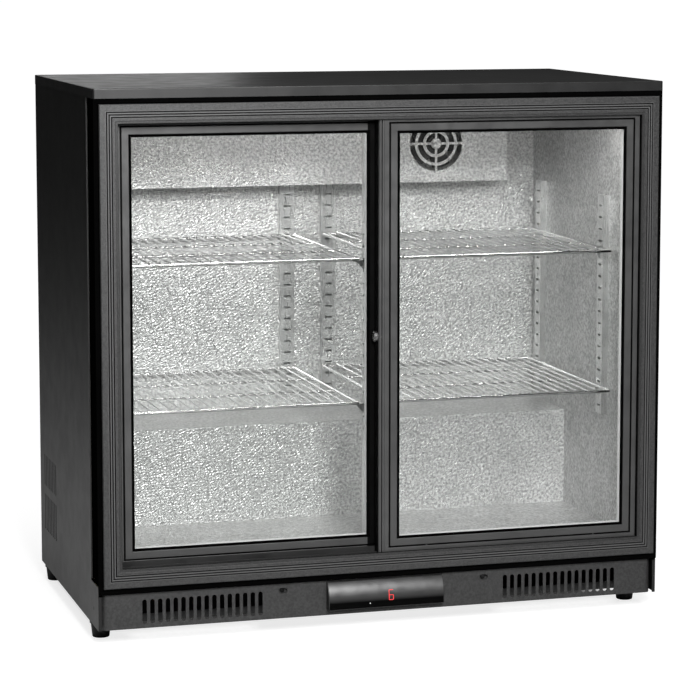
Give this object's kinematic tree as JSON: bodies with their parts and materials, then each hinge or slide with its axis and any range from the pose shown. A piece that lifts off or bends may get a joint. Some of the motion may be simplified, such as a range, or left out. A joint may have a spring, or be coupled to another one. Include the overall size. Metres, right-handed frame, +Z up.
{
  "type": "undercounter refrigerator",
  "caption": "Black undercounter bottle refrigerator with sliding double-glazed doors, ribbed door surround, wire shelves, lit embossed interior and a slotted plinth with a controller.",
  "frame": {"origin": "on the floor under the middle of the cabinet's bounding box", "axes": "+X to the right when facing the doors, doors face -Y, +Z up"},
  "size_m": [0.9, 0.506, 0.84],
  "materials": {
    "worktop_black": "satin",
    "cabinet_black": "satin",
    "portal_black": "matt",
    "back_sheet": "satin",
    "trim_ribbed": "fine grain",
    "track_black": "matt",
    "plinth_grey": "fine texture",
    "embossed_aluminium": "stucco embossed",
    "foam": "cellular",
    "zinc_sheet": "galvanised",
    "screw_steel": "black zinc",
    "housing_black": "satin",
    "smoked_window": "high gloss",
    "circuit_board": "solder mask",
    "upright_metal": "satin",
    "chromed_wire": "bright",
    "diffuser_white": "opal",
    "coil_aluminium": "fins",
    "copper": "bright",
    "motor_black": "moulded",
    "fan_plastic": "moulded",
    "compressor_black": "gloss enamel",
    "rubber": "matt",
    "tray_plastic": "moulded",
    "door_frame_grey": "anodised dark grey",
    "door_sash_grey": "anodised dark grey",
    "door_gasket": "matt",
    "glass": "clear",
    "roller_nylon": "moulded",
    "brush_pile": "pile",
    "lock_chrome": "polished",
    "foot_plastic": "moulded"
  },
  "bodies": {
    "cabinet": {"back_panel": "back_sheet", "base_pan": "cabinet_black", "cabinet_foam": "foam", "compressor": "compressor_black", "compressor_mounts": "rubber", "condensate_drain": "tray_plastic", "condenser_coil": "coil_aluminium", "condenser_motor": "motor_black", "condenser_shroud": "zinc_sheet", "controller_board": "circuit_board", "controller_housing": "housing_black", "controller_window": "smoked_window", "door_tracks": "track_black", "electrical_box": "housing_black", "evaporator_coil": "coil_aluminium", "evaporator_cover": "embossed_aluminium", "evaporator_motor": "motor_black", "foam_tray": "zinc_sheet", "kick_panel": "plinth_grey", "light_diffuser": "diffuser_white", "light_housing": "upright_metal", "liner_floor": "embossed_aluminium", "liner_walls": "embossed_aluminium", "machine_cover": "back_sheet", "panel_screws": "screw_steel", "portal_frame": "portal_black", "power_inlet": "housing_black", "refrigerant_pipes": "copper", "shelf_clips": "upright_metal", "shelf_lower_left": "chromed_wire", "shelf_lower_right": "chromed_wire", "shelf_upper_left": "chromed_wire", "shelf_upper_right": "chromed_wire", "shelf_uprights": "upright_metal", "side_panel_left": "cabinet_black", "side_panel_right": "cabinet_black", "surround_trim": "trim_ribbed", "worktop": "worktop_black"},
    "right_door": {"right_door_frame": "door_frame_grey", "right_door_sash": "door_sash_grey", "right_door_gasket": "door_gasket", "right_door_panes": "glass", "meeting_brush": "brush_pile", "lock_body": "lock_chrome"},
    "left_door": {"left_door_frame": "door_frame_grey", "left_door_sash": "door_sash_grey", "left_door_gasket": "door_gasket", "left_door_panes": "glass"},
    "right_roller_inner": {"right_roller_inner": "roller_nylon"},
    "right_roller_outer": {"right_roller_outer": "roller_nylon"},
    "left_roller_inner": {"left_roller_inner": "roller_nylon"},
    "left_roller_outer": {"left_roller_outer": "roller_nylon"},
    "lock_barrel": {"lock_barrel": "lock_chrome"},
    "condenser_fan": {"condenser_fan": "fan_plastic"},
    "evaporator_fan": {"evaporator_fan": "fan_plastic"},
    "foot_front_left": {"foot_front_left": "foot_plastic"},
    "foot_front_right": {"foot_front_right": "foot_plastic"},
    "foot_rear_left": {"foot_rear_left": "foot_plastic"},
    "foot_rear_right": {"foot_rear_right": "foot_plastic"}
  },
  "joints": [
    {"name": "right_door_slide", "type": "slide", "parent": "cabinet", "child": "right_door", "axis": [-1, 0, 0], "range_m": [0, 0.385]},
    {"name": "left_door_slide", "type": "slide", "parent": "cabinet", "child": "left_door", "axis": [1, 0, 0], "range_m": [0, 0.385]},
    {"name": "right_inner_roller_spin", "type": "hinge", "parent": "right_door", "child": "right_roller_inner", "pos_m": [0.067, -0.23425, 0.1279], "axis": [0, 1, 0], "range_deg": [-3560, 0]},
    {"name": "right_outer_roller_spin", "type": "hinge", "parent": "right_door", "child": "right_roller_outer", "pos_m": [0.3426, -0.23425, 0.1279], "axis": [0, 1, 0], "range_deg": [-3560, 0]},
    {"name": "left_inner_roller_spin", "type": "hinge", "parent": "left_door", "child": "left_roller_inner", "pos_m": [-0.067, -0.20975, 0.1279], "axis": [0, 1, 0], "range_deg": [0, 3560]},
    {"name": "left_outer_roller_spin", "type": "hinge", "parent": "left_door", "child": "left_roller_outer", "pos_m": [-0.3426, -0.20975, 0.1279], "axis": [0, 1, 0], "range_deg": [0, 3560]},
    {"name": "lock_turn", "type": "hinge", "parent": "right_door", "child": "lock_barrel", "pos_m": [-0.012, -0.23425, 0.456], "axis": [-1, 0, 0], "range_deg": [0, 90]},
    {"name": "condenser_fan_spin", "type": "hinge", "parent": "cabinet", "child": "condenser_fan", "pos_m": [-0.368, 0.174, 0.132], "axis": [-1, 0, 0], "continuous": true},
    {"name": "evaporator_fan_spin", "type": "hinge", "parent": "cabinet", "child": "evaporator_fan", "pos_m": [0.205, 0.154, 0.722], "axis": [0, -1, 0], "continuous": true},
    {"name": "foot_front_left_level", "type": "slide", "parent": "cabinet", "child": "foot_front_left", "axis": [0, 0, 1], "range_m": [-0.01, 0]},
    {"name": "foot_front_right_level", "type": "slide", "parent": "cabinet", "child": "foot_front_right", "axis": [0, 0, 1], "range_m": [-0.01, 0]},
    {"name": "foot_rear_left_level", "type": "slide", "parent": "cabinet", "child": "foot_rear_left", "axis": [0, 0, 1], "range_m": [-0.01, 0]},
    {"name": "foot_rear_right_level", "type": "slide", "parent": "cabinet", "child": "foot_rear_right", "axis": [0, 0, 1], "range_m": [-0.01, 0]}
  ],
  "couplings": [
    {"joint": "right_inner_roller_spin", "follows": "right_door_slide", "rad_per_m": -161.29},
    {"joint": "right_outer_roller_spin", "follows": "right_door_slide", "rad_per_m": -161.29},
    {"joint": "left_inner_roller_spin", "follows": "left_door_slide", "rad_per_m": 161.29},
    {"joint": "left_outer_roller_spin", "follows": "left_door_slide", "rad_per_m": 161.29}
  ]
}
